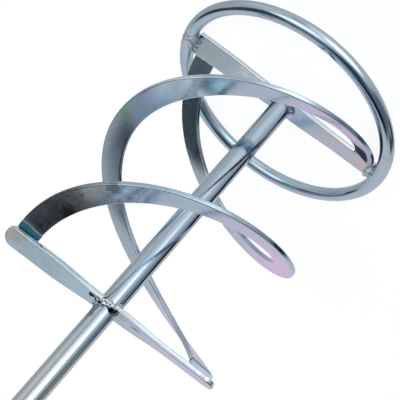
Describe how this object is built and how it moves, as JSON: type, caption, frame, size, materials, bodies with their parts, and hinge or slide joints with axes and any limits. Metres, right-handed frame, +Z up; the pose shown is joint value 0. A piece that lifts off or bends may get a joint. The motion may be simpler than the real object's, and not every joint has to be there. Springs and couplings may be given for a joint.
{
  "type": "mortar mixing paddle",
  "caption": "Helical mixing paddle for mortar: strips wind round a straight shaft between a twisted crossbar and a guard ring, driven from a threaded adaptor.",
  "frame": {"origin": "on the shaft's axis, level with the underside of the guard ring that the paddle stands on", "axes": "+Z up the shaft to the threaded stud, X along the crossbars, arm a at +X"},
  "size_m": [0.14, 0.14, 0.6],
  "materials": {
    "zinc_plate": "Bright bluish zinc plate over drawn flat and round bar, with faint lilac and teal tints, rust and heat marks near the welds.",
    "ring_zinc": "Bright bluish zinc plate over bent round rod, smooth and glossy.",
    "adaptor_zinc": "Turned steel with bright bluish zinc plate.",
    "weld_metal": "Rippled and pitted weld under the same thin zinc plate, darker in its pits."
  },
  "bodies": {
    "root": {"shaft": "zinc_plate", "drive_adaptor": "adaptor_zinc", "upper_arm_a": "zinc_plate", "upper_arm_b": "zinc_plate", "lower_crossbar": "zinc_plate", "blade_a": "zinc_plate", "blade_b": "zinc_plate", "guard_ring": "ring_zinc", "weld_adaptor": "weld_metal", "weld_upper_front": "weld_metal", "weld_upper_back": "weld_metal", "weld_upper_under": "weld_metal", "weld_shaft_foot": "weld_metal", "weld_blade_a_top": "weld_metal", "weld_blade_a_foot": "weld_metal", "weld_ring_a_top": "weld_metal", "weld_ring_a_under": "weld_metal", "weld_blade_b_top": "weld_metal", "weld_blade_b_foot": "weld_metal", "weld_ring_b_top": "weld_metal", "weld_ring_b_under": "weld_metal"}
  },
  "joints": []
}
